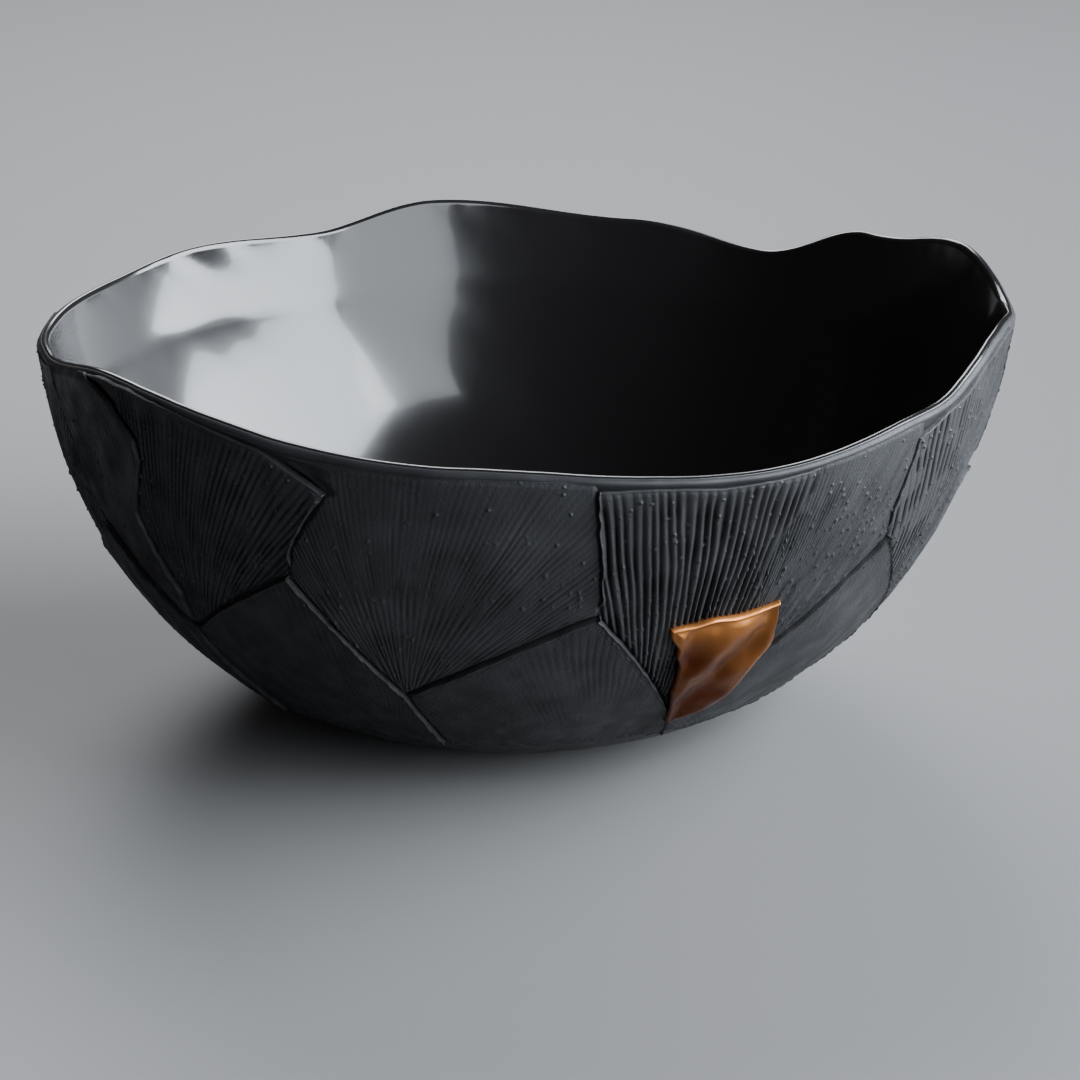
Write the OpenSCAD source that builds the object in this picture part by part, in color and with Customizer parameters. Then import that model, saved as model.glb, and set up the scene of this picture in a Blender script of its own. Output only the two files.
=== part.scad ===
// Hand-built black clay bowl: a smooth thrown-looking lining with a wavy lip, clothed outside
// in overlapping clay petals, with one small petal finished in gold lustre.
// Origin: centre of the flat foot. +Z is up, the gold petal is at the front right (-Y, +X).
// Azimuths are degrees about Z, counted from +X. Heights are those of a bowl with a level lip:
// place() then adds the lip's waves, so that neighbouring pieces share one surface.

/* [Bowl] */
// Radius of the outside at the height where the wall would stand upright
bowl_r = 92; // [86:0.5:96]
// Height of the lip's top, before its waves
lip_z = 73.5; // [70:0.5:75]
// Height at which the wall would stand upright
upright_z = 84; // [84:1:90]
// Radius of the flat foot
foot_r = 28; // [22:1:34]
// How square the wall's curve is, 1 being an ellipse
fullness = 1.08; // [1:0.01:1.2]
// How far the lip's centre leans to +X from the foot's centre
lean = 2.8; // [0:0.1:4]

/* [Walls] */
// Thickness of the clay lining
lining_t = 2.3; // [1.8:0.1:3]
// Thickness of the glaze inside
glaze_t = 0.3; // [0.2:0.05:0.5]
// Thickness of a petal
petal_t = 1.2; // [1:0.1:1.6]
// Thickness of the gold petal, which lies on top of its neighbours
gold_t = 1.1; // [0.8:0.1:1.4]
// Height of the base slab's edge
base_z = 12; // [10:0.5:13]

/* [Joints between the slabs] */
// Width by which one petal laps its neighbour
lap = 2.4; // [1:0.2:3]
// Gap left along a seam
seam_gap = 0.6; // [0.4:0.05:0.8]
// Gap left for the slip between two layers
slip = 0.2; // [0.1:0.05:0.25]

/* [Hidden] */

// Crests and dips of the lip: [azimuth, rise]
LIP_WAVES = [[-180, -1], [-166, -0.5], [-144, 3.6], [-97, -1.4], [-66, -3.8], [-40, -1], [-14, 4.8],
    [-1, 3.2], [16, 8.6], [38, 3.6], [57, -4.8], [76, -1], [103, 3.2], [121, -1.5], [141, 0.2],
    [158, -0.9], [180, -1]];
// Places where the lip stands out or draws in: [azimuth, distance]
PLAN_WAVES = [[-180, 0.8], [-146, -1.8], [-105, 0.1], [-66, 1.6], [-24, -2], [0, 0.4], [20, -1.3],
    [48, -0.1], [68, 1.8], [100, 0.9], [125, 0.3], [156, -0.2], [180, 0.8]];

// Leaves around the foot: [azimuth of tip, height of tip, azimuth of right corner, height of it]
LEAVES = [[-152, 46, -138, 30], [-117, 49, -105, 25], [-81, 45, -66, 18], [-42, 50, -24, 24],
    [-8, 47, 7, 22], [26, 48, 41, 24], [60, 46, 76, 21], [96, 49, 111, 24], [132, 45, 148, 23],
    [168, 48, 184, 26]];
// How far a leaf's right edge swings on between its corner and the base slab
leaf_swing = 3;

// Seams between the petals above: [leaf that it ends on, 1 at its tip or 0 at its right corner,
// which side lies on top (1 right, -1 left), points as [height, azimuth] from the bottom up]
SEAMS = [
    [0, 1, 1, [[60, -156], [74, -162]]],
    [0, 0, -1, [[38, -137], [52, -141], [62, -138], [65, -139], [70, -144], [73, -150]]],
    [1, 1, -1, [[55, -116], [60, -114], [67, -111], [69, -113], [71, -116], [73, -122]]],
    [2, 1, 1, [[50, -81], [60, -82], [70, -83]]],
    [2, 0, -1, [[22, -61], [30, -60], [44, -61], [52, -62], [59, -61], [70, -58]]],
    [3, 1, 1, [[56, -43], [70, -42]]],
    [4, 1, -1, [[60, -9], [73, -13]]],
    [4, 0, 1, [[40, 11], [60, 15], [73, 17]]],
    [5, 1, -1, [[60, 31], [73, 39]]],
    [6, 1, 1, [[60, 61], [73, 65]]],
    [6, 0, -1, [[40, 80], [60, 86], [73, 88]]],
    [7, 1, 1, [[60, 102], [73, 112]]],
    [8, 1, -1, [[60, 134], [73, 138]]],
    [9, 1, 1, [[60, 169], [73, 172]]],
];
// Distance of each petal's top edge below the lip's top: [at left, in the middle, at right]
TOP_MARGINS = [[0.6, 0.5, 0.5], [0.5, 0.6, 7], [1.6, 1.2, 0.6], [2.6, 1.8, 1.4], [0.9, 0.6, 0.6],
    [4, 1.6, 0.5], [0.8, 0.6, 2.2], [0.6, 1.4, 0.8], [0.8, 1.6, 0.6], [2.6, 1, 0.8],
    [0.6, 1.2, 2.4], [1, 0.6, 0.6], [2.2, 0.8, 1], [0.6, 1.2, 0.6]];

// Gold petal: [height, azimuth] up its left and right edges
GOLD_LEFT = [[17, -66], [26, -68.5], [33, -69.5], [41, -72]];
GOLD_RIGHT = [[21, -58], [30, -57], [36, -56.5], [44, -58]];

// Cells across a petal, rows up it, cells around the bowl, and rows up the bowl
across = 8;
rows = 10;
around = 64;
up = 14;
// Half the number of cells over the rounded lip
lip_cells = 3;
// Rows up the base slab
base_rows = 12;
// Lowest height at which the wall's curve is taken, just above the flat foot
start_z = 0.02;
// Distances that keep a petal's lower end and a leaf's tip from closing to nothing
notch_gap = 1.5;
tip_gap = 0.8;

petal_count = len(SEAMS);
leaf_count = len(LEAVES);
function two_digits(i) = i < 10 ? str("0", i) : str(i);
PETAL_NAMES = [for (i = [1 : petal_count]) str("rim_petal_", two_digits(i))];
LEAF_NAMES = [for (i = [1 : leaf_count]) str("foot_leaf_", two_digits(i))];

clay = [0.09, 0.09, 0.1];
lining_clay = [0.11, 0.11, 0.12];
glaze = [0.03, 0.03, 0.03];
gold = [0.66, 0.42, 0.2];

// --- The bowl's surface -------------------------------------------------------------------

function mix(a, b, t) = a + (b - a) * t;

// Smooth curve through a list of [azimuth, value], level at every point of the list
function wave(list, azimuth) =
    let (a = azimuth - 360 * floor((azimuth + 180) / 360),
        i = max([for (j = [0 : len(list) - 2]) if (list[j][0] <= a) j]),
        t = (a - list[i][0]) / (list[i + 1][0] - list[i][0]))
    mix(list[i][1], list[i + 1][1], (1 - cos(180 * t)) / 2);

function turn_at(z) = acos(1 - z / upright_z);
function wall_r(z) = foot_r + (bowl_r - foot_r) * pow(sin(turn_at(z)), fullness);

// Outward direction of the wall at a height, as [along the radius, along Z]
function outward(z) =
    let (turn = turn_at(z),
        rise = upright_z * sin(turn),
        run = (bowl_r - foot_r) * fullness * pow(sin(turn), fullness - 1) * cos(turn),
        size = norm([rise, run]))
    [rise / size, -run / size];

// Point at an azimuth and a level-lip height, out from the petals' outer face
function place(azimuth, level, out) =
    let (share = level / lip_z,
        z = level + wave(LIP_WAVES, azimuth) * pow(share, 3),
        dir = outward(z),
        r = wall_r(z) + wave(PLAN_WAVES, azimuth) * pow(share, 2) + out * dir[0])
    [r * cos(azimuth) + lean * pow(share, 2), r * sin(azimuth), z + out * dir[1]];

// --- Seams --------------------------------------------------------------------------------

// Leaf by number, counted on round the bowl, with a whole turn added or taken
function leaf(k) =
    let (turns = floor(k / leaf_count), row = LEAVES[k - turns * leaf_count])
    [row[0] + 360 * turns, row[1], row[2] + 360 * turns, row[3]];

function leaf_right(k, z) =
    let (edge = leaf(k))
    lookup(z, [[base_z, edge[2] + leaf_swing], [edge[3], edge[2]], [edge[1], edge[0]]]);

function leaf_left(k, z) =
    let (before = leaf(k - 1), edge = leaf(k))
    z < before[3] ? leaf_right(k - 1, z)
    : lookup(z, [[before[3], before[2]], [edge[1], edge[0]]]);

// Lap in degrees at a height, never more than half of what is there to lap
function lap_angle(z, room) = min(lap / wall_r(z) * 180 / PI, room / 2);

// Inner boundaries of a leaf, drawn in from its outer ones because it lies on top
function leaf_room(k, z) = leaf_right(k, z) - leaf_left(k, z);
function leaf_right_under(k, z) = leaf_right(k, z) - lap_angle(z, leaf_room(k, z));
function leaf_left_under(k, z) =
    z < leaf(k - 1)[3] ? leaf_right_under(k - 1, z)
    : leaf_left(k, z) + lap_angle(z, leaf_room(k, z));

function seam(i) =
    let (turns = floor(i / petal_count), row = SEAMS[i - turns * petal_count],
        k = row[0] + turns * leaf_count, edge = leaf(k),
        foot = row[1] == 1 ? [edge[1], edge[0]] : [edge[3], edge[2]],
        points = [for (p = row[3]) [p[0], p[1] + 360 * turns]])
    [k, row[1], row[2], foot[0], concat([foot], points)];

// Visible boundary of the petals at seam i; side is 1 for the petal on its right, -1 on its left
function seam_at(i, z, side) =
    let (s = seam(i))
    z >= s[3] ? lookup(z, s[4])
    : side > 0 ? leaf_right(s[0], z) : leaf_left(s[0], z);

// Boundary of the half thickness underneath, which the lap carries across the seam
function seam_under(i, z, side) =
    let (s = seam(i))
    z >= s[3] ? lookup(z, s[4]) + s[2] * lap_angle(z, (z - s[3]) / 2)
    : side > 0 ? leaf_right_under(s[0], z) : leaf_left_under(s[0], z);

// 1 where the petal on that side of seam i is the upper one of the lap
function seam_on_top(i, z, side) =
    let (s = seam(i)) z >= s[3] ? side * s[2] : -1;

// --- Solids -------------------------------------------------------------------------------

function quads(a, b, c, d) = [[a, b, c], [a, c, d]];

// Closed solid through rings of a slab, each ring drawn by slab_ring()
module loft(rings) {
    n = len(rings[0]);
    last = len(rings) - 1;
    sides = [for (i = [0 : last - 1], j = [0 : n - 1])
        each quads(i * n + j, i * n + (j + 1) % n, (i + 1) * n + (j + 1) % n, (i + 1) * n + j)];
    polyhedron([for (ring = rings) each ring],
        concat(sides, ring_cap(n, 0), [for (f = ring_cap(n, last * n)) [f[2], f[1], f[0]]]),
        convexity = 6);
}

// Cap over one ring of a slab: cells between its outer and inner rows, then its two laps
function ring_cap(n, start) =
    let (outer = [for (j = [0 : across]) start + j],
        inner = [for (j = [0 : across]) start + n - 3 - j],
        right = start + across + 1,
        left = start + n - 2)
    concat([for (j = [0 : across - 1]) each quads(outer[j], inner[j], inner[j + 1], outer[j + 1])],
        quads(outer[across], inner[across], right + 1, right),
        quads(outer[0], left + 1, left, inner[0]));

// One ring of a slab. edges: azimuths left, right, left underneath and right underneath;
// tops: 1 where that edge is the upper one of its lap, or -1; sag: how far below level the ring
// lies, as a function of the share across; faces: how far out its outer and inner faces lie
function slab_ring(edges, tops, level, sag, faces) =
    let (half = seam_gap / 2 / wall_r(level) * 180 / PI,
        middle = (faces[0] + faces[1]) / 2,
        left = edges[0] + half,
        right = max(edges[1] - half, left + half),
        left_in = edges[2] + half,
        right_in = max(edges[3] - half, left_in + half),
        left_z = level - sag(0),
        right_z = level - sag(1),
        left_step = middle + tops[0] * slip / 2,
        right_step = middle + tops[1] * slip / 2,
        shares = [for (j = [0 : across]) j / across])
    concat([for (u = shares) place(mix(left, right, u), level - sag(u), faces[0])],
        [place(right, right_z, right_step), place(right_in, right_z, right_step)],
        [for (u = shares) place(mix(right_in, left_in, u), level - sag(1 - u), faces[1])],
        [place(left_in, left_z, left_step), place(left, left_z, left_step)]);

// Shell all round the bowl: sections run up one face and down the other, between two poles
// other_split halves its cells along their other diagonals, to lie flat on the next shell
module wavy_shell(sections, pole_below, pole_above, other_split = false) {
    n = len(sections[0]);
    m = len(sections);
    walls = [for (i = [0 : m - 1], k = [0 : n - 2])
        let (a = i * n + k, b = a + 1, d = ((i + 1) % m) * n + k, c = d + 1)
        each (other_split ? quads(b, c, d, a) : quads(a, b, c, d))];
    fans = [for (i = [0 : m - 1])
        each [[m * n, i * n, ((i + 1) % m) * n],
            [m * n + 1, ((i + 1) % m) * n + n - 1, i * n + n - 1]]];
    polyhedron(concat([for (s = sections) each s], [[0, 0, pole_below], [0, 0, pole_above]]),
        concat(walls, fans), convexity = 6);
}

// --- Pieces -------------------------------------------------------------------------------

petal_in = -petal_t;
lining_out = petal_in - slip;
lining_in = lining_out - lining_t;
glaze_in = lining_in - glaze_t;
lip_round = lining_t / 2;

// Heights up the wall, closer together near the foot where it turns fastest
wall_levels = [for (k = [0 : up]) mix(start_z, lip_z - lip_round, pow(k / up, 1.5))];

// Point over the rounded lip, where over runs from 0 outside to 180 inside
function lip_point(azimuth, over, radius) =
    place(azimuth, lip_z - lip_round + radius * sin(over),
        lining_out - lip_round + radius * cos(over));

// Smooth inner wall of the bowl, whose rounded edge is the lip
module bowl_lining() {
    sections = [for (i = [0 : around - 1]) let (a = i * 360 / around) concat(
        [for (level = wall_levels) place(a, level, lining_out)],
        [for (k = [1 : 2 * lip_cells - 1]) lip_point(a, k * 90 / lip_cells, lip_round)],
        [for (k = [up : -1 : 0]) place(a, wall_levels[k], lining_in)])];
    color(lining_clay) wavy_shell(sections, -lining_out, -lining_in);
}

// Glossy coat over the inside and the inner half of the lip
module inner_glaze() {
    crest = [for (k = [lip_cells : 2 * lip_cells - 1]) k * 90 / lip_cells];
    sections = [for (i = [0 : around - 1]) let (a = i * 360 / around) concat(
        [for (level = wall_levels) place(a, level, lining_in)],
        [for (k = [len(crest) - 1 : -1 : 0]) lip_point(a, crest[k], lip_round)],
        [for (over = crest) lip_point(a, over, lip_round + glaze_t)],
        [for (k = [up : -1 : 0]) place(a, wall_levels[k], glaze_in)])];
    color(glaze) wavy_shell(sections, -lining_in, -glaze_in, other_split = true);
}

// Dished slab under the bowl, with the flat foot that it stands on
module base_slab() {
    levels = [for (k = [0 : base_rows]) mix(start_z, base_z - seam_gap, pow(k / base_rows, 1.5))];
    outside = [for (z = levels) [wall_r(z), z]];
    inside = [for (k = [base_rows : -1 : 0]) let (z = levels[k], dir = outward(z))
        [wall_r(z) + petal_in * dir[0], z + petal_in * dir[1]]];
    color(clay) rotate_extrude($fn = 128)
        polygon(concat([[0, 0], [foot_r, 0]], outside, inside, [[0, petal_t]]));
}

// How far petal i's top edge lies below the lip's top, at a share u across it
function top_margin(i, u) =
    let (m = TOP_MARGINS[i])
    lookup(u, [[0, m[0]], [0.2, mix(m[0], m[1], 0.8)], [0.5, m[1]], [0.8, mix(m[2], m[1], 0.8)],
        [1, m[2]]]);

// Clay petal i, from the notch between two leaves up to just under the lip
module rim_petal(i) {
    low = leaf(seam(i)[0])[3] + notch_gap;
    color(clay) loft([for (k = [0 : rows])
        let (v = k / rows, level = mix(low, lip_z, v), sag = function (u) pow(v, 3) * top_margin(i, u),
            left_z = level - sag(0), right_z = level - sag(1))
        slab_ring([seam_at(i, left_z, 1), seam_at(i + 1, right_z, -1),
            seam_under(i, left_z, 1), seam_under(i + 1, right_z, -1)],
            [seam_on_top(i, left_z, 1), seam_on_top(i + 1, right_z, -1)], level, sag, [0, petal_in])]);
}

// Clay leaf k above the base slab, lying over the petals at both its edges
module foot_leaf(k) {
    color(clay) loft([for (j = [0 : rows]) let (level = mix(base_z, leaf(k)[1] - tip_gap, j / rows))
        slab_ring([leaf_left(k, level), leaf_right(k, level),
            leaf_left_under(k, level), leaf_right_under(k, level)],
            [level < leaf(k - 1)[3] ? -1 : 1, 1], level, function (u) 0, [0, petal_in])]);
}

// Small petal pressed over the joint of two others
module gold_petal() {
    low = [GOLD_LEFT[0][0], GOLD_RIGHT[0][0]];
    high = [GOLD_LEFT[3][0], GOLD_RIGHT[3][0]];
    color(gold) loft([for (j = [0 : rows]) let (v = j / rows, left_z = mix(low[0], high[0], v),
            right_z = mix(low[1], high[1], v), left = lookup(left_z, GOLD_LEFT),
            right = lookup(right_z, GOLD_RIGHT))
        slab_ring([left, right, left, right], [1, 1], left_z,
            function (u) u * (left_z - right_z), [slip + gold_t, slip])]);
}

bowl_lining();
inner_glaze();
base_slab();
for (i = [0 : petal_count - 1])
    rim_petal(i);
for (k = [0 : leaf_count - 1])
    foot_leaf(k);
gold_petal();
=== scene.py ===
# Hand-built black clay bowl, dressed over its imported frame.
# Each slab is rolled out, pressed with veins, laid on the bowl's surface and edged.
import math

import bpy
import numpy as np
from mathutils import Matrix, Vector


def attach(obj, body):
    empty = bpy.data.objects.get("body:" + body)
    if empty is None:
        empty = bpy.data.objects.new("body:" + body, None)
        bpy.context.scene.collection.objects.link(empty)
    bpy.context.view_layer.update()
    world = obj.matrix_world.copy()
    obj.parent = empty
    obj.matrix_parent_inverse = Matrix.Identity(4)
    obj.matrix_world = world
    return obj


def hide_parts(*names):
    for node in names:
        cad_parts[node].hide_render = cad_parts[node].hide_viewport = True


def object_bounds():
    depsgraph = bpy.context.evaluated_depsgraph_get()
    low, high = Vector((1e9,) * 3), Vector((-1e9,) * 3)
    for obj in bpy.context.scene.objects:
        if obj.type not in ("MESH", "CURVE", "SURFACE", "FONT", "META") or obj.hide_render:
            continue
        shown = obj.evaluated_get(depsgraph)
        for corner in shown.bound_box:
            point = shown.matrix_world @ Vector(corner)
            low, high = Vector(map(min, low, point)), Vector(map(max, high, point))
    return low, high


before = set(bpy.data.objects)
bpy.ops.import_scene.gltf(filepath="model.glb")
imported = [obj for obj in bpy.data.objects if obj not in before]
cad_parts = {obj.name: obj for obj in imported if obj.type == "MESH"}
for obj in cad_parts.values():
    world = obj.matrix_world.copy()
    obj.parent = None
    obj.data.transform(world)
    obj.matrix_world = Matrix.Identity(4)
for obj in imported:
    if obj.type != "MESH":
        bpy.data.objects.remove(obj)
cad_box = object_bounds()
MM = 0.001

# --- Camera -------------------------------------------------------------------------------
# A short telephoto a little above the lip, so that the far lip shows over the near one.
camera_elevation = math.radians(14.8)
camera_dip, camera_pan = math.radians(18.98), math.radians(-0.23)
camera_distance = 570 * MM
lip_centre = Vector((2.8 * MM, 0, 73.3 * MM))
camera_data = bpy.data.cameras.new("camera")
camera_data.lens = 100
camera_data.sensor_width = 36
camera = bpy.data.objects.new("camera", camera_data)
bpy.context.collection.objects.link(camera)
camera.location = lip_centre + camera_distance * Vector(
    (0, -math.cos(camera_elevation), math.sin(camera_elevation)))
camera.rotation_euler = (math.pi / 2 - camera_dip, 0, camera_pan)
bpy.context.scene.camera = camera

# --- Floor and studio lights --------------------------------------------------------------
# Plain pale table, one wide soft window light on the right, a dimmer one at the front, and a
# fill light behind that shows the bowl's back.
bpy.ops.object.select_all(action="DESELECT")
bpy.ops.mesh.primitive_plane_add(size=8, location=(0, 0, cad_box[0][2]))
floor = bpy.context.object
floor.name = "studio_floor"
floor_paper = bpy.data.materials.new("studio_paper")
floor_paper.use_nodes = True
paper_shader = floor_paper.node_tree.nodes["Principled BSDF"]
paper_shader.inputs["Base Color"].default_value = (0.155, 0.152, 0.152, 1)
paper_shader.inputs["Roughness"].default_value = 0.55
floor.data.materials.append(floor_paper)

world = bpy.data.worlds.new("studio")
world.use_nodes = True
backdrop = world.node_tree.nodes["Background"]
backdrop.inputs["Color"].default_value = (1, 0.9, 0.95, 1)
backdrop.inputs["Strength"].default_value = 0.045
bpy.context.scene.world = world


def studio_light(name, azimuth, elevation, distance, width, height, watts, colour):
    """A flat soft light that faces the bowl from an azimuth and elevation in degrees. Its
    distance and size are in metres."""
    data = bpy.data.lights.new(name, "AREA")
    data.shape = "RECTANGLE"
    data.size, data.size_y = width, height
    data.energy = watts
    data.color = colour
    lamp = bpy.data.objects.new(name, data)
    bpy.context.collection.objects.link(lamp)
    turn, lift = math.radians(azimuth), math.radians(elevation)
    lamp.location = distance * Vector(
        (math.cos(lift) * math.cos(turn), math.cos(lift) * math.sin(turn), math.sin(lift)))
    lamp.rotation_euler = (lip_centre - lamp.location).to_track_quat("-Z", "Y").to_euler()


daylight = (0.86, 0.93, 1)
studio_light("window", -4, 27, 1.4, 1.75, 1.4, 150, daylight)
studio_light("curtained_window", -54, 25, 1.9, 0.95, 1.5, 27, daylight)
studio_light("back_fill", 98, 34, 2.1, 1.1, 1.1, 26, (0.93, 0.96, 1))

# --- Lining -------------------------------------------------------------------------------
# Smooth inner wall of black clay, sponged smooth, with a rounded lip pushed into waves.
# Pieces are laid out on a level round bowl, and place() then adds the lip's waves to them.
# Lengths are in mm, azimuths are degrees from +X, and levels are heights before the waves.
bowl_r, lip_z, upright_z, foot_r = 92, 73.5, 84, 28
# How full the wall's curve is, and how far the lip leans towards +X
fullness, lean = 1.08, 2.8
lining_t, glaze_t, petal_t, slip = 2.3, 0.3, 1.2, 0.2
lining_out = -petal_t - slip
lining_in = lining_out - lining_t
glaze_in = lining_in - glaze_t
# Crests and dips of the lip, then how far it stands out or draws in: azimuth and distance
lip_waves = [(-180, -1), (-166, -0.5), (-144, 3.6), (-97, -1.4), (-66, -3.8), (-40, -1),
             (-14, 4.8), (-1, 3.2), (16, 8.6), (38, 3.6), (57, -4.8), (76, -1), (103, 3.2),
             (121, -1.5), (141, 0.2), (158, -0.9), (180, -1)]
plan_waves = [(-180, 0.8), (-146, -1.8), (-105, 0.1), (-66, 1.6), (-24, -2), (0, 0.4),
              (20, -1.3), (48, -0.1), (68, 1.8), (100, 0.9), (125, 0.3), (156, -0.2), (180, 0.8)]


def swell(waves, azimuth):
    """Height of a wave at each azimuth: level at every listed crest and dip, smooth between."""
    azimuth = (azimuth + 180) % 360 - 180
    at, rise = np.array(waves, float).T
    i = np.clip(np.searchsorted(at, azimuth, side="right") - 1, 0, len(at) - 2)
    t = (azimuth - at[i]) / (at[i + 1] - at[i])
    return rise[i] + (rise[i + 1] - rise[i]) * (1 - np.cos(np.pi * t)) / 2


def wall_r(level):
    """Radius of the bowl's outside at a level."""
    return foot_r + (bowl_r - foot_r) * np.sin(np.arccos(1 - level / upright_z)) ** fullness


def outward(level):
    """Direction square to the wall at a level, as its parts along the radius and along Z."""
    turn = np.arccos(1 - level / upright_z)
    rise = upright_z * np.sin(turn)
    run = (bowl_r - foot_r) * fullness * np.sin(turn) ** (fullness - 1) * np.cos(turn)
    size = np.hypot(rise, run)
    return rise / size, -run / size


def place(azimuth, level, out):
    """Points in metres, out from the bowl's surface, at azimuths and level-lip heights."""
    azimuth, level, out = np.broadcast_arrays(azimuth, level, out)
    share = level / lip_z
    along, down = outward(level)
    r = wall_r(level) + swell(plan_waves, azimuth) * share ** 2 + out * along
    z = level + swell(lip_waves, azimuth) * share ** 3 + out * down
    turn = np.radians(azimuth)
    points = np.stack([r * np.cos(turn) + lean * share ** 2, r * np.sin(turn), z], axis=-1)
    return points * MM


def uneven(x, y, seed):
    """Smooth unevenness from -1 to 1, with about one swell for each whole step of x or y.
    The seed only picks the pattern."""
    table = np.random.default_rng(seed).uniform(-1, 1, (61, 61))
    column, row = np.floor(x).astype(int), np.floor(y).astype(int)
    across, along = x - column, y - row
    across = across * across * (3 - 2 * across)
    along = along * along * (3 - 2 * along)

    def corner(i, j):
        return table[(column + i) % 61, (row + j) % 61]

    low = corner(0, 0) * (1 - across) + corner(1, 0) * across
    high = corner(0, 1) * (1 - across) + corner(1, 1) * across
    return low * (1 - along) + high * along


def rolled_slab(name, columns, rows, lay):
    """A flat grid of clay, laid by lay(s, t) with s across and t up, both from 0 to 1."""
    bpy.ops.object.select_all(action="DESELECT")
    bpy.ops.mesh.primitive_grid_add(x_subdivisions=columns, y_subdivisions=rows, size=1)
    piece = bpy.context.object
    piece.name = piece.data.name = name
    flat = np.empty(len(piece.data.vertices) * 3)
    piece.data.vertices.foreach_get("co", flat)
    flat = flat.reshape(-1, 3)
    laid = lay(flat[:, 0] + 0.5, flat[:, 1] + 0.5)
    piece.data.vertices.foreach_set("co", laid.ravel())
    piece.data.update()
    return piece


def close_and_smooth():
    """Merges what meets on the active piece, turns its faces outwards and shades it smooth."""
    bpy.ops.object.mode_set(mode="EDIT")
    bpy.ops.mesh.select_all(action="SELECT")
    bpy.ops.mesh.remove_doubles(threshold=0.005 * MM)
    bpy.ops.mesh.normals_make_consistent(inside=False)
    bpy.ops.object.mode_set(mode="OBJECT")
    bpy.ops.object.shade_smooth()


def turned_shell(name, columns, path, dent):
    """A closed shell all round. path holds (share of the radius, level, out) from the lower pole
    to the upper one; dent(azimuth, level, row) moves its surface out."""
    reach, level, out = np.array(path, float).T

    def lay(s, t):
        row = np.rint(t * (len(path) - 1)).astype(int)
        azimuth = s * 360 - 180
        dents = dent(azimuth, level[row], row) * reach[row] ** 2
        points = place(azimuth, level[row], out[row] + dents)
        points[:, :2] *= reach[row][:, None]
        return points

    piece = rolled_slab(name, columns, len(path) - 1, lay)
    close_and_smooth()
    return piece


def finish_piece(piece, material, slot, *nodes):
    """Gives a piece its material, fixes it to the bowl and hides the nodes that it replaces."""
    piece.data.materials.clear()
    piece.data.materials.append(material)
    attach(piece, "root")
    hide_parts(*nodes)


def clay_material(name, colour, grain_depth, veined=False):
    """Fired black clay: a little uneven in tone and in how dull it is, with a fine grain.
    Veined clay is smoothed by rubbing on its ridges, stays dull down in its grooves, and has
    shade painted into the grooves as a darker colour."""
    material = bpy.data.materials.new(name)
    material.use_nodes = True
    nodes, links = material.node_tree.nodes, material.node_tree.links
    shader = nodes["Principled BSDF"]
    shader.inputs["Specular IOR Level"].default_value = 0.22
    place_node = nodes.new("ShaderNodeTexCoord")

    def noise(scale, detail, source):
        node = nodes.new("ShaderNodeTexNoise")
        node.inputs["Scale"].default_value = scale
        node.inputs["Detail"].default_value = detail
        node.inputs["Roughness"].default_value = 0.6
        links.new(source, node.inputs["Vector"])
        return node.outputs["Fac"]

    def ramp(source, low, high, start=0.3, end=0.7):
        node = nodes.new("ShaderNodeValToRGB")
        node.color_ramp.elements[0].position = start
        node.color_ramp.elements[1].position = end
        node.color_ramp.elements[0].color = (*low, 1)
        node.color_ramp.elements[1].color = (*high, 1)
        links.new(source, node.inputs["Fac"])
        return node.outputs["Color"]

    cloud = noise(60, 4, place_node.outputs["Object"])
    tone = ramp(cloud, tuple(c * 0.72 for c in colour), tuple(c * 1.3 for c in colour))
    dull = ramp(noise(420, 3, place_node.outputs["Object"]), (0.36,) * 3, (0.54,) * 3)
    if veined:
        # The attribute darkens the colour down in the grooves, which is painted shade, and keeps
        # them dull; its random patches are real rubbing.
        rubbed = nodes.new("ShaderNodeAttribute")
        rubbed.attribute_name = "rubbed"
        painted_groove_colour = nodes.new("ShaderNodeMix")
        painted_groove_colour.data_type = "RGBA"
        painted_groove_colour.inputs["A"].default_value = (*(c * 0.12 for c in colour), 1)
        links.new(rubbed.outputs["Fac"], painted_groove_colour.inputs["Factor"])
        links.new(tone, painted_groove_colour.inputs["B"])
        duller = nodes.new("ShaderNodeMix")
        duller.inputs["A"].default_value = 1
        links.new(rubbed.outputs["Fac"], duller.inputs["Factor"])
        links.new(dull, duller.inputs["B"])
        tone, dull = painted_groove_colour.outputs["Result"], duller.outputs["Result"]
    links.new(tone, shader.inputs["Base Color"])
    links.new(dull, shader.inputs["Roughness"])

    bump = nodes.new("ShaderNodeBump")
    bump.inputs["Strength"].default_value = 0.8
    bump.inputs["Distance"].default_value = grain_depth * MM
    links.new(noise(2600, 3, place_node.outputs["Object"]), bump.inputs["Height"])
    links.new(bump.outputs["Normal"], shader.inputs["Normal"])
    return material


# Lowest level of a shell's wall, and the level from which the wall goes over into the lip
start_level, lip_start = 0.02, 58
# Outside and inside of the lip, out from the bowl's surface
lip_out, lip_in = -0.15, -2.15
lip_r = (lip_out - lip_in) / 2
lip_middle = lip_in + lip_r


def over_lip(degrees, radius):
    """Path rows over the rounded lip, 0 being its outside and 180 its inside."""
    return [(1, lip_z - lip_r + radius * math.sin(math.radians(a)),
             lip_middle + radius * math.cos(math.radians(a))) for a in degrees]


def round_about(azimuth, level, size):
    """Coordinates for uneven() that join up all round the bowl, with swells of a given size."""
    turn = np.radians(azimuth)
    return (bowl_r * np.cos(turn) + 0.7 * level) / size, (bowl_r * np.sin(turn) + level) / size


def near_lip(level):
    """0 on the wall, rising to 1 where the lip's rounding starts."""
    return np.clip((level - lip_start) / (lip_z - lip_r - lip_start), 0, 1)


def lip_flare(level):
    """Share of the way out to the lip, where the wall thickens over the petals' top edges."""
    return near_lip(level) ** 6


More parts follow.
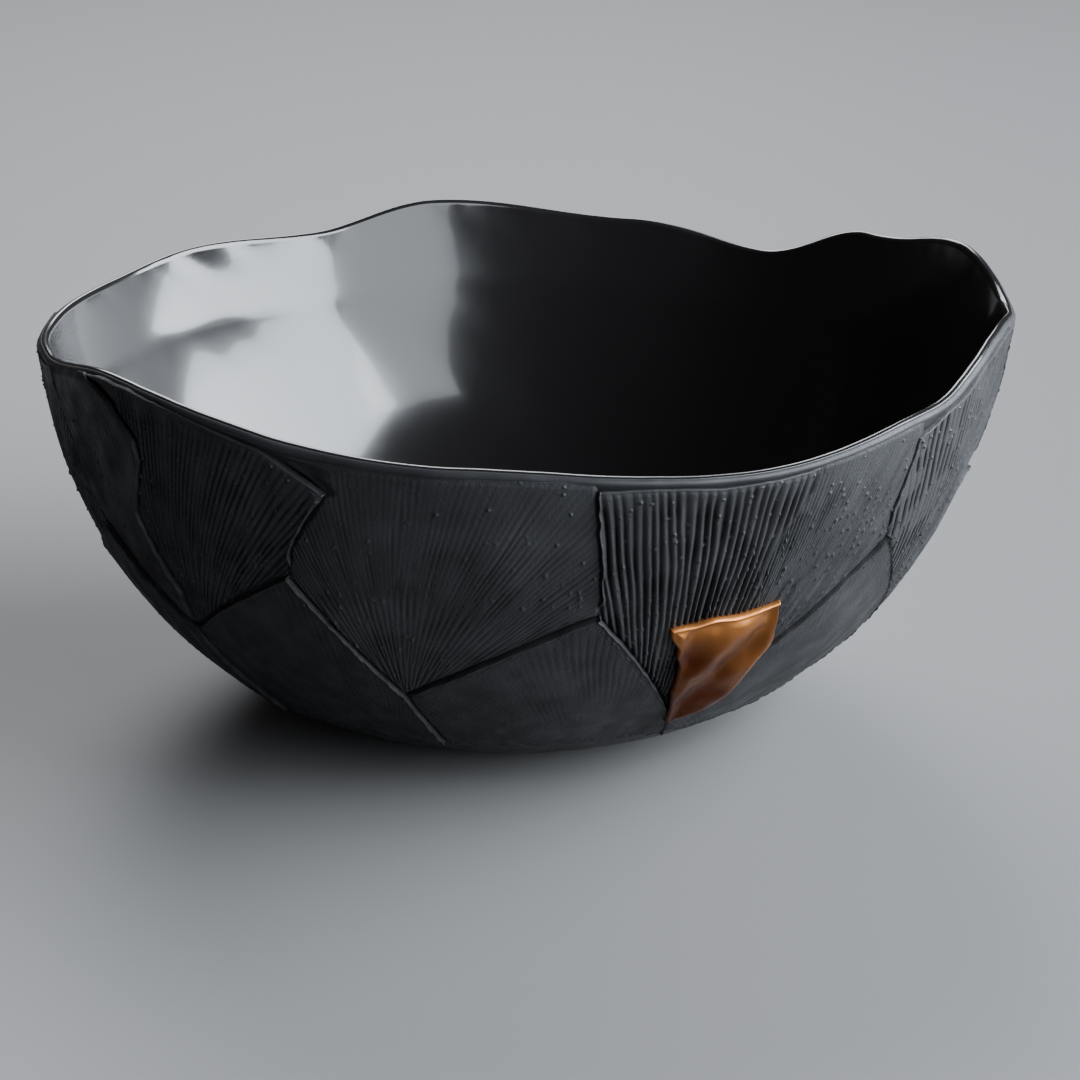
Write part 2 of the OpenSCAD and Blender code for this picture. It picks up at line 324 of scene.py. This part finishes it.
def lip_wobble(azimuth, level):
    """Slight unevenness of the hand-rounded lip."""
    x, y = round_about(azimuth, level, 9)
    fine_x, fine_y = round_about(azimuth, level, 2.6)
    return near_lip(level) ** 3 * (0.14 * uneven(x, y, 3) + 0.05 * uneven(fine_x, fine_y, 4))


def pressed_wall(azimuth, level):
    """Gentle dents of the hand in the inner wall, which die out towards the lip."""
    x, y = round_about(azimuth, level, 26)
    fine_x, fine_y = round_about(azimuth, level, 9)
    dents = 0.24 * uneven(x, y, 11) + 0.03 * uneven(fine_x, fine_y, 12)
    return (1 - near_lip(level)) * dents


def lining_dents(azimuth, level, row):
    """The hand's dents are only inside, and the lip wavers on both of its sides."""
    inside = row >= first_lining_row
    return lip_wobble(azimuth, level) + inside * pressed_wall(azimuth, level)


wall = list(np.linspace(start_level ** 0.5, (lip_start - 1) ** 0.5, 28) ** 2)
band = list(np.linspace(lip_start, lip_z - lip_r, 36))
lining_path = [(0, start_level, lining_out), (0.5, start_level, lining_out)]
lining_path += [(1, level, lining_out) for level in wall]
lining_path += [(1, level, lining_out + (lip_out - lining_out) * lip_flare(level))
                for level in band]
lining_path += over_lip(range(10, 180, 10), lip_r)
first_lining_row = len(lining_path)
lining_path += [(1, level, lining_in + (lip_in - lining_in) * near_lip(level))
                for level in reversed(band[::3])]
lining_path += [(1, level, lining_in) for level in reversed(wall)]
lining_path += [(0.5, start_level, lining_in), (0, start_level, lining_in)]
lining = turned_shell("lining_wall", 720, lining_path, lining_dents)
smooth_clay = clay_material("sponged_clay", (0.022, 0.022, 0.024), 0.05)
finish_piece(lining, smooth_clay, "smooth_clay", "bowl_lining")

# --- Glaze --------------------------------------------------------------------------------
# Glossy black glaze poured inside and wiped off over the lip. It lies in gentle swells, as
# the wall under it was pressed by hand, and thins to nothing on top of the lip. Its hidden
# face lies inside the lining, so that no gap shows between them.
# How deep its edge on the lip and its hidden face lie in the clay
glaze_lap, glaze_root = 0.03, 1


def glaze_dents(azimuth, level, row):
    """The glaze follows the wall and the lip under it."""
    return lip_wobble(azimuth, level) + pressed_wall(azimuth, level)


def inside_wall(level, depth):
    """Distance out of the glaze's faces, which follow the lining in towards the lip."""
    return lining_in - depth + (lip_in - lining_in) * near_lip(level)


inside_levels = list(np.linspace(start_level ** 0.5, (lip_z - lip_r) ** 0.5, 90) ** 2)
glaze_path = [(share, start_level, lining_in + glaze_root) for share in (0, 0.5)]
glaze_path += [(1, level, inside_wall(level, -glaze_root)) for level in wall + band[:-4:6]]
glaze_path += over_lip((180, 150, 120, 90), lip_r - 0.6)
glaze_path += [row for k in range(13) for row in
               over_lip([72 + 9 * k], lip_r - glaze_lap + (glaze_t + glaze_lap) * min(1, k / 5))]
glaze_path += [(1, level, inside_wall(level, glaze_t)) for level in reversed(inside_levels)]
glaze_path += [(share, start_level, glaze_in) for share in (0.85, 0.7, 0.55, 0.4, 0.25, 0.1, 0)]
glaze = turned_shell("black_glaze", 480, glaze_path, glaze_dents)

# Deep gloss, hazier in clouds, with a faint ripple
black_glaze = bpy.data.materials.new("black_glaze")
black_glaze.use_nodes = True
nodes, links = black_glaze.node_tree.nodes, black_glaze.node_tree.links
shader = nodes["Principled BSDF"]
shader.inputs["Base Color"].default_value = (0.008, 0.0075, 0.008, 1)
shader.inputs["Coat Weight"].default_value = 0.35
shader.inputs["Coat Roughness"].default_value = 0.06
place_node = nodes.new("ShaderNodeTexCoord")
haze = nodes.new("ShaderNodeTexNoise")
haze.inputs["Scale"].default_value = 45
haze.inputs["Detail"].default_value = 3
haze_range = nodes.new("ShaderNodeMapRange")
haze_range.inputs["To Min"].default_value = 0.1
haze_range.inputs["To Max"].default_value = 0.24
ripple = nodes.new("ShaderNodeTexNoise")
ripple.inputs["Scale"].default_value = 260
ripple_bump = nodes.new("ShaderNodeBump")
ripple_bump.inputs["Distance"].default_value = 0.015 * MM
ripple_bump.inputs["Strength"].default_value = 0.5
links.new(place_node.outputs["Object"], haze.inputs["Vector"])
links.new(place_node.outputs["Object"], ripple.inputs["Vector"])
links.new(haze.outputs["Fac"], haze_range.inputs["Value"])
links.new(haze_range.outputs["Result"], shader.inputs["Roughness"])
links.new(ripple.outputs["Fac"], ripple_bump.inputs["Height"])
links.new(ripple_bump.outputs["Normal"], shader.inputs["Normal"])
finish_piece(glaze, black_glaze, "black_glaze", "inner_glaze")

# --- Base slab ----------------------------------------------------------------------------
# Dished slab of the same clay, scraped smooth, with a flat foot to stand on.
base_z = 12


def scraped(azimuth, level, row):
    """Marks of the scraper under the base slab, none on the foot or inside."""
    x, y = round_about(azimuth, level, 7)
    above_foot = np.clip((level - 0.6) / 3, 0, 1)
    under_face = row < first_inner_row
    return np.where(under_face, above_foot * 0.14 * uneven(x, y, 21), 0)


under_levels = list(start_level + (base_z - start_level) * np.linspace(0, 1, 60) ** 1.5)
base_path = [(share, start_level, start_level) for share in (0, 0.25, 0.5, 0.75, 0.97)]
base_path += [(1, level, 0) for level in under_levels[:-1]]
base_path += [(1, base_z - 0.1, -0.2), (1, base_z, -0.6)]
first_inner_row = len(base_path)
base_path += [(1, base_z - 0.1, -petal_t)]
base_path += [(1, level, -petal_t) for level in reversed(under_levels[:-1:4])]
base_path += [(0.5, start_level, -petal_t), (0, start_level, -petal_t)]
base = turned_shell("base_slab_clay", 360, base_path, scraped)
scraped_clay = clay_material("scraped_clay", (0.014, 0.014, 0.0155), 0.13)
finish_piece(base, scraped_clay, "textured_clay", "base_slab")

# --- Leaves round the foot ----------------------------------------------------------------
# Ten pointed leaves of rolled clay, dressed with slip and laid from the base slab up. Both
# their free edges stand proud of the petals and are left a little torn.
# Each: azimuth and height of its tip, then azimuth and height of its right corner.
leaves = [(-152, 46, -138, 30), (-117, 49, -105, 25), (-81, 45, -66, 18), (-42, 50, -24, 24),
          (-8, 47, 7, 22), (26, 48, 41, 24), (60, 46, 76, 21), (96, 49, 111, 24),
          (132, 45, 148, 23), (168, 48, 184, 26)]
# Degrees that a leaf's right edge swings on, from its corner down to the base slab
leaf_swing = 3
# Free edges: how far they lift, the radius that rounds them, and how far down they come
edge_lift, edge_roll, edge_drop = 0.35, 0.25, 1.25
# Lapped edges: width that lies under the neighbour, how deep, and where the dip starts
tuck, tuck_depth, tuck_reach = 1.1, 0.75, 1.3
# Inner face of every slab, out from the bowl's surface
slab_back = -1.15


def leaf(k):
    """Tip and right corner of leaf k, which may count on round the bowl in either direction."""
    turns, k = divmod(k, len(leaves))
    tip, tip_z, corner, corner_z = leaves[k]
    return tip + 360 * turns, tip_z, corner + 360 * turns, corner_z


def leaf_right(k, level):
    tip, tip_z, corner, corner_z = leaf(k)
    return np.interp(level, [base_z, corner_z, tip_z], [corner + leaf_swing, corner, tip])


def leaf_left(k, level):
    _, _, corner, corner_z = leaf(k - 1)
    tip, tip_z, _, _ = leaf(k)
    rising = np.interp(level, [corner_z, tip_z], [corner, tip])
    return np.where(level < corner_z, leaf_right(k - 1, level), rising)


def degrees_for(mm, level):
    return np.degrees(mm / wall_r(level))


def eased(t):
    t = np.clip(t, 0, 1)
    return t * t * (3 - 2 * t)


def square_off(distance, edge, level):
    """Distance square to a slanted edge, from the level distance to it. edge gives the
    azimuth of the edge at any level."""
    slant = np.radians(edge(level + 0.5) - edge(level - 0.5)) * wall_r(level) * outward(level)[0]
    return distance / np.hypot(1, slant)


def free_edge(distance, along, seed, bead=0.35):
    """Height of a slab's free edge over the surface: lifted, with a thin torn bead, and
    rounded down to the clay that it lies on."""
    torn = bead * (0.7 + 0.35 * uneven(along / 2.1, along * 0 + 0.5, seed)
                   + 0.5 * uneven(along / 0.6, along * 0 + 0.5, seed + 1))
    height = edge_lift * np.exp(-(distance / 4) ** 2)
    height = height + torn * np.exp(-((distance - 0.25) / 0.18) ** 2)
    round_off = 1 - np.clip(distance / edge_roll, 0, 1)
    return height - edge_drop * (1 - np.sqrt(1 - round_off ** 2))


def tucked_edge(distance):
    """Height of an edge that runs down under its neighbour."""
    return -tuck_depth * eased(1 - (distance - 0.5) / tuck_reach)


def crumbs(x, y, size, share, seed):
    """Small round nodules, one in some of the cells of a loose net of a given size."""
    draw = np.random.default_rng(seed).uniform(0, 1, (4, 67, 67))
    column, row = np.floor(x / size).astype(int), np.floor(y / size).astype(int)
    middle_x, middle_y, drawn, width = draw[:, column % 67, row % 67]
    middle_x = (column + 0.3 + 0.4 * middle_x) * size
    middle_y = (row + 0.3 + 0.4 * middle_y) * size
    radius = size * (0.16 + 0.14 * width)
    away = np.hypot(x - middle_x, y - middle_y) / radius
    return np.where(drawn < share, radius * eased(1 - away), 0)


def fan(azimuth, level, foot_azimuth, foot_level, drop):
    """Angle and distance from the point where a slab's veins would meet, which is some way
    below its foot, then the place across and up the slab. Widths are those of the flat slab,
    which narrows towards the foot when it is laid on the bowl."""
    heights = np.linspace(start_level, lip_z + 1, 200)
    climb = np.concatenate([[0], np.cumsum(np.hypot(np.diff(wall_r(heights)), np.diff(heights)))])
    up = np.interp(level, heights, climb) - np.interp(foot_level, heights, climb) + drop
    across = np.radians(azimuth - foot_azimuth) * bowl_r
    return np.arctan2(across, np.maximum(up, 0.01)), np.hypot(across, up), across, up


def laid_slab(name, shape, relief, cells, back_cells=(24, 20)):
    """A clay slab on the bowl. shape(s, t) gives its azimuth, level, edge height and distance in
    from the edge; relief presses the veins and says how worn by rubbing the clay is there and how
    much shade is painted into it, from 0 deep in a groove to 1 on a ridge; a plain inner face and
    a thin strip all round close it."""
    rub_and_shade_values = []

    def front(s, t):
        s = s - 0.6 * np.sin(2 * np.pi * s) / (2 * np.pi)
        t = t - 0.4 * np.sin(2 * np.pi * t) / (2 * np.pi)
        azimuth, level, edge, inset = shape(s, t)
        pressed, rub = relief(azimuth, level, inset)
        rub_and_shade_values.append(np.clip(rub, 0, 1))
        return place(azimuth, level, np.maximum(edge + pressed, slab_back + 0.05))

    def back(s, t):
        azimuth, level, _, _ = shape(s, t)
        return place(azimuth, level, slab_back)

    inner = rolled_slab(name + "_back", *back_cells, back)
    bpy.ops.object.mode_set(mode="EDIT")
    bpy.ops.mesh.select_all(action="SELECT")
    bpy.ops.mesh.flip_normals()
    bpy.ops.object.mode_set(mode="OBJECT")
    slab = rolled_slab(name, *cells, front)
    # This attribute holds rubbing on the ridges together with shade painted into the grooves.
    rubbed = slab.data.attributes.new("rubbed", "FLOAT", "POINT")
    rubbed.data.foreach_set("value", rub_and_shade_values[0])
    inner.select_set(True)
    bpy.context.view_layer.objects.active = slab
    bpy.ops.object.join()
    bpy.ops.object.mode_set(mode="EDIT")
    bpy.ops.mesh.select_mode(type="EDGE")
    bpy.ops.mesh.select_all(action="DESELECT")
    bpy.ops.mesh.select_non_manifold()
    bpy.ops.mesh.bridge_edge_loops()
    bpy.ops.mesh.select_mode(type="VERT")
    bpy.ops.object.mode_set(mode="OBJECT")
    close_and_smooth()
    return slab


def leaf_shape(k):
    """Outline and edge heights of leaf k, whose left edge lies under the leaf before it up to
    that leaf's corner, and on the petals above."""
    tip, tip_z, corner, corner_z = leaf(k)
    low, high = base_z - 0.9, tip_z + 0.3
    previous_corner = leaf(k - 1)[3]

    def shape(s, t):
        level = low + (high - low) * t
        on_top = eased((level - previous_corner) / 3 + 0.5)
        ragged = degrees_for(0.2 * uneven(level / 1.7, s * 0, 40 + k), level)
        left = leaf_left(k, level) + ragged - degrees_for(tuck * (1 - on_top), level)
        right = leaf_right(k, level) + degrees_for(0.15 * uneven(level / 1.5, s * 0, 60 + k), level)
        right = np.maximum(right, left + degrees_for(0.5, level))
        width = np.radians(right - left) * wall_r(level)
        azimuth = left + (right - left) * s
        sag = 0.35 * uneven(azimuth / 1.1, s * 0, 80 + k) * (1 - t)
        along = level * 1.2
        from_left = square_off(s * width, lambda z: leaf_left(k, z), level)
        from_right = square_off((1 - s) * width, lambda z: leaf_right(k, z), level)
        from_low = t * (high - low) * 1.3
        edge = on_top * free_edge(from_left, along, 100 + k, 0.15)
        edge = edge + (1 - on_top) * tucked_edge(from_left)
        edge = edge + free_edge(from_right, along, 120 + k, 0.4)
        edge = edge + 0.8 * free_edge(from_low, azimuth * 1.2, 140 + k)
        inset = np.minimum(np.minimum(from_left, from_right), from_low)
        return azimuth, level + sag, edge, inset

    return shape


def leaf_relief(k):
    """Faint scored lines, dents, grit, and torn clay along the edges of leaf k."""
    def relief(azimuth, level, inset):
        angle, distance, across, up = fan(azimuth, level, leaf(k)[0] + 6, base_z, 30)
        q = angle * 42 + 0.5 * uneven(angle * 9, distance / 12, 160 + k)
        lines = -0.08 * (0.5 + 0.5 * np.cos(2 * np.pi * q)) ** 3
        lines = lines * (0.5 + 0.5 * uneven(q * 0.3, distance / 9, 170 + k))
        dents = 0.16 * uneven(across / 9, up / 9, 180 + k)
        grit = crumbs(across, up, 0.9, 0.3, 190 + k) * 0.45
        torn = crumbs(across, up, 1.3, 0.7, 195 + k) * 0.9 * np.exp(-((inset - 1) / 0.8) ** 2)
        fade = eased(inset / 1.2)
        # Darker in the scored lines, which is painted shade; grit, torn clay and random patches are
        # lighter from rubbing.
        rub = 0.75 + 3 * lines + 1.5 * (grit + torn) + 0.2 * uneven(across / 3, up / 3, 198 + k)
        return (lines + grit) * fade + torn * eased(inset / 0.6) + dents, rub

    return relief


veined_clay = clay_material("veined_clay", (0.022, 0.022, 0.024), 0.13, veined=True)
for k in range(len(leaves)):
    cells = (210, 140) if k < 4 else (130, 90)
    number = k + 1
    slab = laid_slab("leaf_slab_%02d" % number, leaf_shape(k), leaf_relief(k), cells)
    finish_piece(slab, veined_clay, "textured_clay", "foot_leaf_%02d" % number)

# --- Petals under the lip -----------------------------------------------------------------
# Fourteen fans of clay pressed on veined leaves or combed, then laid from the notches between
# the foot leaves up to the lip. Where two meet, one laps the other.
# Each seam: leaf it ends on, 1 at its tip or 0 at its right corner, the side on top (1 right,
# -1 left), how proud its edge is left (0 when it is smoothed over with slip), and its points
# as (height, azimuth) from the bottom up.
seams = [
    (0, 1, 1, 0.6, [(60, -156), (74, -162)]),
    (0, 0, -1, 1, [(38, -137), (52, -141), (62, -138), (65, -139), (70, -144), (73, -150)]),
    (1, 1, -1, 1, [(55, -116), (60, -114), (67, -111), (69, -113), (71, -116), (73, -122)]),
    (2, 1, 1, 1, [(50, -81), (60, -82), (70, -83)]),
    (2, 0, -1, 0.3, [(22, -61), (30, -60), (44, -61), (52, -62), (59, -61), (70, -58)]),
    (3, 1, 1, 0.3, [(56, -43), (70, -42)]),
    (4, 1, -1, 0.9, [(60, -9), (73, -13)]),
    (4, 0, 1, 0.6, [(40, 11), (60, 15), (73, 17)]),
    (5, 1, -1, 1, [(60, 31), (73, 39)]),
    (6, 1, 1, 0.3, [(60, 61), (73, 65)]),
    (6, 0, -1, 0.8, [(40, 80), (60, 86), (73, 88)]),
    (7, 1, 1, 1, [(60, 102), (73, 112)]),
    (8, 1, -1, 0.4, [(60, 134), (73, 138)]),
    (9, 1, 1, 0.9, [(60, 169), (73, 172)]),
]
# Distance of each top edge below the lip: at left, in the middle, at right
top_margins = [(0.6, 0.5, 0.5), (0.5, 0.6, 7), (1.6, 1.2, 0.6), (2.6, 1.8, 1.4), (0.9, 0.6, 0.6),
               (4, 1.6, 0.5), (0.8, 0.6, 2.2), (0.6, 1.4, 0.8), (0.8, 1.6, 0.6), (2.6, 1, 0.8),
               (0.6, 1.2, 2.4), (1, 0.6, 0.6), (2.2, 0.8, 1), (0.6, 1.2, 0.6)]
# How each petal is pressed: pitch and depth of its veins, how sharp their grooves are, how
# broken they are and in what lengths, height of the smooth stretch at the top, crumbs, how
# crisp its top edge is, and where its veins would meet: below its foot, and degrees to the right
presses = [
    (1.3, 0.1, 2, 0.3, 7, 9, 0.1, 0.2, 8, 0), (1.2, 0.5, 2, 0.5, 5, 3, 0.7, 0.8, 9, 0),
    (1.1, 0.34, 2, 0.5, 6, 24, 0.15, 0.1, 4, 0), (0.8, 1.1, 1.7, 0.3, 7, 5, 0.55, 0.3, 45, 0),
    (0.65, 0.3, 1.6, 0.6, 5, 7, 0.45, 0.1, 6, 4), (1.3, 1.05, 4, 0.8, 4, 2, 0.3, 0.8, 40, 0),
    (1.0, 0.3, 2, 0.4, 7, 14, 0.15, 0.3, 6, 0), (1.0, 1, 3, 0.2, 8, 4, 0.4, 0.8, 45, 0),
    (1.2, 0.4, 2, 0.4, 6, 12, 0.2, 0.6, 8, 0), (1.4, 1, 4, 0.7, 4, 3, 0.25, 0.9, 30, 0),
    (0.9, 0.34, 2, 0.8, 1, 8, 0.3, 0.4, 6, 4), (0.95, 1, 2.8, 0.2, 8, 4, 0.35, 0.8, 40, 0),
    (1.0, 0.35, 2, 0.4, 7, 18, 0.15, 0.4, 5, 0), (1.3, 0.5, 2, 0.4, 6, 6, 0.35, 0.9, 10, 0),
]


def seam(i):
    """Seam i, which may count on round the bowl, from the leaf that it ends on to the lip."""
    turns, i = divmod(i, len(seams))
    k, at_tip, side, proud, points = seams[i]
    k += turns * len(leaves)
    tip, tip_z, corner, corner_z = leaf(k)
    foot_z, foot_azimuth = (tip_z, tip) if at_tip else (corner_z, corner)
    heights = [foot_z] + [p[0] for p in points]
    azimuths = [foot_azimuth] + [p[1] + 360 * turns for p in points]
    return k, side, proud, foot_z, heights, azimuths


def petal_edge(i, level, side):
    """Azimuth of seam i for the petal on one side of it, how far that petal is on top, and
    how proud the upper edge is."""
    k, upper, proud, foot_z, heights, azimuths = seam(i)
    leaf_edge = leaf_right(k, level) if side > 0 else leaf_left(k, level)
    azimuth = np.where(level >= foot_z, np.interp(level, heights, azimuths), leaf_edge)
    above = eased((level - foot_z) / 4)
    return azimuth, above * (upper == side), 1 + (proud - 1) * above


def petal_shape(i):
    """Outline and edge heights of petal i, between seam i and the next one."""
    notch = leaf(seam(i)[0])[3]
    low, high = notch - 0.5, lip_z
    margins = top_margins[i]
    crisp = presses[i][7]

    def shape(s, t):
        level = low + (high - low) * t
        left, left_top, left_proud = petal_edge(i, level - margins[0] * t ** 3, 1)
        right, right_top, right_proud = petal_edge(i + 1, level - margins[2] * t ** 3, -1)
        ragged = 0.2 * uneven(level / 1.9, s * 0, 200 + i)
        left = left - degrees_for(tuck * (1 - left_top) + ragged, level)
        right = right + degrees_for(tuck * (1 - right_top) + ragged, level)
        right = np.maximum(right, left + degrees_for(0.5, level))
        width = np.radians(right - left) * wall_r(level)
        azimuth = left + (right - left) * s
        margin = np.interp(s, [0, 0.2, 0.5, 0.8, 1],
                           [margins[0], margins[0] * 0.2 + margins[1] * 0.8, margins[1],
                            margins[2] * 0.2 + margins[1] * 0.8, margins[2]])
        margin = margin + 0.25 * uneven(azimuth / 5, s * 0, 220 + i)
        margin = margin + 0.06 * uneven(azimuth, s * 0, 230 + i)
        from_left = square_off(s * width, lambda z: petal_edge(i, z, 1)[0], level)
        from_right = square_off((1 - s) * width, lambda z: petal_edge(i + 1, z, -1)[0], level)
        from_top = (1 - t) * (high - low)
        along = level * 1.1
        edge = left_proud * left_top * free_edge(from_left, along, 240 + i)
        edge = edge + left_proud * (1 - left_top) * tucked_edge(from_left)
        edge = edge + right_proud * right_top * free_edge(from_right, along, 260 + i)
        edge = edge + right_proud * (1 - right_top) * tucked_edge(from_right)
        edge = edge + crisp * free_edge(from_top, azimuth * 1.5, 280 + i, 0.15)
        edge = edge - (1 - crisp) * 0.35 * eased(1 - from_top / 1.5)
        inset = np.minimum(np.minimum(from_left, from_right), from_top)
        return azimuth, level - margin * t ** 3, edge, inset

    return shape


def petal_relief(i):
    """Veins of petal i, which fork as they spread, with crumbs and dents."""
    _, _, corner, corner_z = leaf(seam(i)[0])
    pitch, depth, sharp, broken, dash, smooth_top, crumb_share, _, drop, aside = presses[i]
    # Distances from where the veins would meet: where they have their pitch, and start to fork
    pitch_at, closest = 50, 4

    def grooves(q, distance):
        """1 on the ridges, falling to 0 in the grooves between them."""
        q = q + 0.25 * uneven(q * 0.8, distance / 11, 320 + i)
        across = np.abs(2 * (q - np.floor(q)) - 1)
        strength = 0.72 + 0.28 * uneven(np.floor(q + 0.5) * 0.37, distance / 18, 340 + i)
        gaps = eased(0.5 + 1.6 * uneven(np.floor(q + 0.5) * 0.61, distance / dash, 360 + i))
        strength = strength * (1 - broken * gaps)
        return 1 - strength * across ** sharp

    def relief(azimuth, level, inset):
        angle, distance, across, up = fan(azimuth, level, corner + aside, corner_z, drop)
        wander = 0.005 * uneven(angle * 9, distance / 15, 300 + i)
        q = (angle + wander) * pitch_at / pitch
        octave = np.clip(np.log2(pitch_at / np.maximum(distance, closest)), 0, 3.9)
        coarse = np.floor(octave)
        share = eased((octave - coarse - 0.5) * 2.5)
        ridges = (grooves(q / 2 ** coarse, distance) * (1 - share)
                  + grooves(q / 2 ** (coarse + 1), distance) * share)
        fade = eased(inset / 1.2)
        smooth = smooth_top * (1 + 0.6 * uneven(across / 9, across * 0, 480 + i))
        top_fade = eased((lip_z - 1.5 - level) / smooth)
        near_apex = eased(distance / 9)
        veins = depth * (ridges - 1) * (0.3 + 0.7 * top_fade) * (0.4 + 0.6 * near_apex)
        clumps = 1 + 0.8 * uneven(across / 8, up / 8, 460 + i)
        thick = crumb_share * (1.8 - 1.5 * level / lip_z) * clumps
        grit = crumbs(across, up, 1.7, thick, 380 + i) * 0.9
        grit = grit + crumbs(across, up, 0.8, 0.7 * thick, 420 + i) * 0.7
        dents = 0.14 * uneven(across / 10, up / 10, 400 + i)
        patch = 0.2 * uneven(across / 4, up / 4, 440 + i)
        # Shade painted into the grooves, stronger for deeper veins; grit and random patches are
        # real rubbing.
        painted_groove_shade = (0.5 + 1.1 * depth) * (1 - ridges) * fade * (0.3 + 0.7 * top_fade)
        rub = 0.9 - painted_groove_shade + grit + patch
        return (veins + grit) * fade + dents, rub

    return relief


for i in range(len(seams)):
    cells = (280, 220) if 1 <= i <= 5 else (180, 140)
    number = i + 1
    slab = laid_slab("petal_slab_%02d" % number, petal_shape(i), petal_relief(i), cells)
    finish_piece(slab, veined_clay, "textured_clay", "rim_petal_%02d" % number)

# --- Gold petal ---------------------------------------------------------------------------
# One torn scrap of clay, laid over the joint of two petals and a leaf, glazed, and fired
# again with a copper-gold lustre. Its edges are thick and rounded, and it folds softly.
# Left and right edges: height and azimuth, from the bottom up
gold_left = [(17, -66), (26, -68.5), (33, -69.5), (41, -72)]
gold_right = [(21, -58), (30, -57), (36, -56.5), (44, -58)]
# Its thickness, its length up the wall, and the first seed of its unevenness
gold_t, gold_length, gold_seed = 1.1, 30, 500
# Its torn lower edge comes this far below the lowest points of both sides
gold_torn = 0.4


def gold_shape(s, t):
    """Outline and edge heights: the scrap thins towards its top edge, which has a fine bead."""
    left_low, right_low = gold_left[0][0] - gold_torn, gold_right[0][0] - gold_torn
    left_level = left_low + (gold_left[-1][0] - left_low) * t
    right_level = right_low + (gold_right[-1][0] - right_low) * t
    left = np.interp(left_level, *zip(*gold_left))
    right = np.interp(right_level, *zip(*gold_right))
    level = left_level + (right_level - left_level) * s
    left = left + degrees_for(0.35 * uneven(level / 2.3, s * 0, gold_seed), level)
    right = right + degrees_for(0.45 * uneven(level / 2.0, s * 0, gold_seed + 1), level)
    azimuth = left + (right - left) * s
    wave = 0.6 * np.sin(np.pi * (s * 1.6 + 0.3)) + 0.3 * uneven(s * 5, s * 0, gold_seed + 3)
    level = level + wave * t
    width = np.radians(right - left) * wall_r(level)
    from_side = np.minimum(s, 1 - s) * width
    from_end = np.minimum(t, 1 - t) * gold_length
    from_top = (1 - t) * gold_length
    inset = np.minimum(from_side, from_end)
    round_off = 1 - np.clip(inset / 0.45, 0, 1)
    edge = slip + gold_t + 0.1 - 1.2 * (1 - np.sqrt(1 - round_off ** 2))
    edge = edge - 0.6 * eased(1 - from_top / 5)
    top_bead = np.exp(-((from_top - 0.4) / 0.3) ** 2)
    edge = edge + 0.2 * top_bead * (0.8 + 0.5 * uneven(s * 9, s * 0, gold_seed + 2))
    return azimuth, level, edge, inset


def gold_folds(azimuth, level, inset):
    """Soft slanting folds and small dimples."""
    _, _, across, up = fan(azimuth, level, -68, 12, 0)
    slant = (across - 0.5 * up) / 4.2
    folds = 0.7 * np.sin(slant * 1.9 + 0.9 * uneven(across / 6, up / 6, gold_seed + 3))
    dimples = 0.1 * uneven(across / 2, up / 2, gold_seed + 4)
    return (folds + dimples) * eased(inset / 2.2), 1 + 0 * across


gold_piece = laid_slab("gold_petal_slab", gold_shape, gold_folds, (150, 190))

# Cloudy lustre with a fine grain; painted shade darkens it towards the foot and painted light
# brightens it towards the top edge
lustre = bpy.data.materials.new("gold_lustre")
lustre.use_nodes = True
nodes, links = lustre.node_tree.nodes, lustre.node_tree.links
shader = nodes["Principled BSDF"]
shader.inputs["Metallic"].default_value = 1
place_node = nodes.new("ShaderNodeTexCoord")
patches = nodes.new("ShaderNodeTexNoise")
patches.inputs["Scale"].default_value = 70
patches.inputs["Detail"].default_value = 2
tone = nodes.new("ShaderNodeValToRGB")
tone.color_ramp.elements[0].position = 0.32
tone.color_ramp.elements[0].color = (0.09, 0.024, 0.008, 1)
tone.color_ramp.elements[1].position = 0.74
tone.color_ramp.elements[1].color = (0.4, 0.155, 0.045, 1)
sheen = nodes.new("ShaderNodeMapRange")
sheen.inputs["To Min"].default_value = 0.28
sheen.inputs["To Max"].default_value = 0.5
fine = nodes.new("ShaderNodeTexNoise")
fine.inputs["Scale"].default_value = 1500
fine_bump = nodes.new("ShaderNodeBump")
fine_bump.inputs["Distance"].default_value = 0.05 * MM
fine_bump.inputs["Strength"].default_value = 0.5
for node in (patches, fine):
    links.new(place_node.outputs["Object"], node.inputs["Vector"])
height = nodes.new("ShaderNodeSeparateXYZ")
# By height: painted shade towards the foot, painted light towards the top edge.
painted_light_by_height = nodes.new("ShaderNodeMapRange")
painted_light_by_height.inputs["From Min"].default_value = 0.012
painted_light_by_height.inputs["From Max"].default_value = 0.044
painted_light_by_height.inputs["To Min"].default_value = -0.5
painted_light_by_height.inputs["To Max"].default_value = 0.2
added = nodes.new("ShaderNodeMath")
links.new(place_node.outputs["Object"], height.inputs["Vector"])
links.new(height.outputs["Z"], painted_light_by_height.inputs["Value"])
links.new(painted_light_by_height.outputs["Result"], added.inputs[0])
links.new(patches.outputs["Fac"], added.inputs[1])
links.new(added.outputs["Value"], tone.inputs["Fac"])
links.new(tone.outputs["Color"], shader.inputs["Base Color"])
links.new(patches.outputs["Fac"], sheen.inputs["Value"])
links.new(sheen.outputs["Result"], shader.inputs["Roughness"])
links.new(fine.outputs["Fac"], fine_bump.inputs["Height"])
links.new(fine_bump.outputs["Normal"], shader.inputs["Normal"])
finish_piece(gold_piece, lustre, "gold_lustre", "gold_petal")
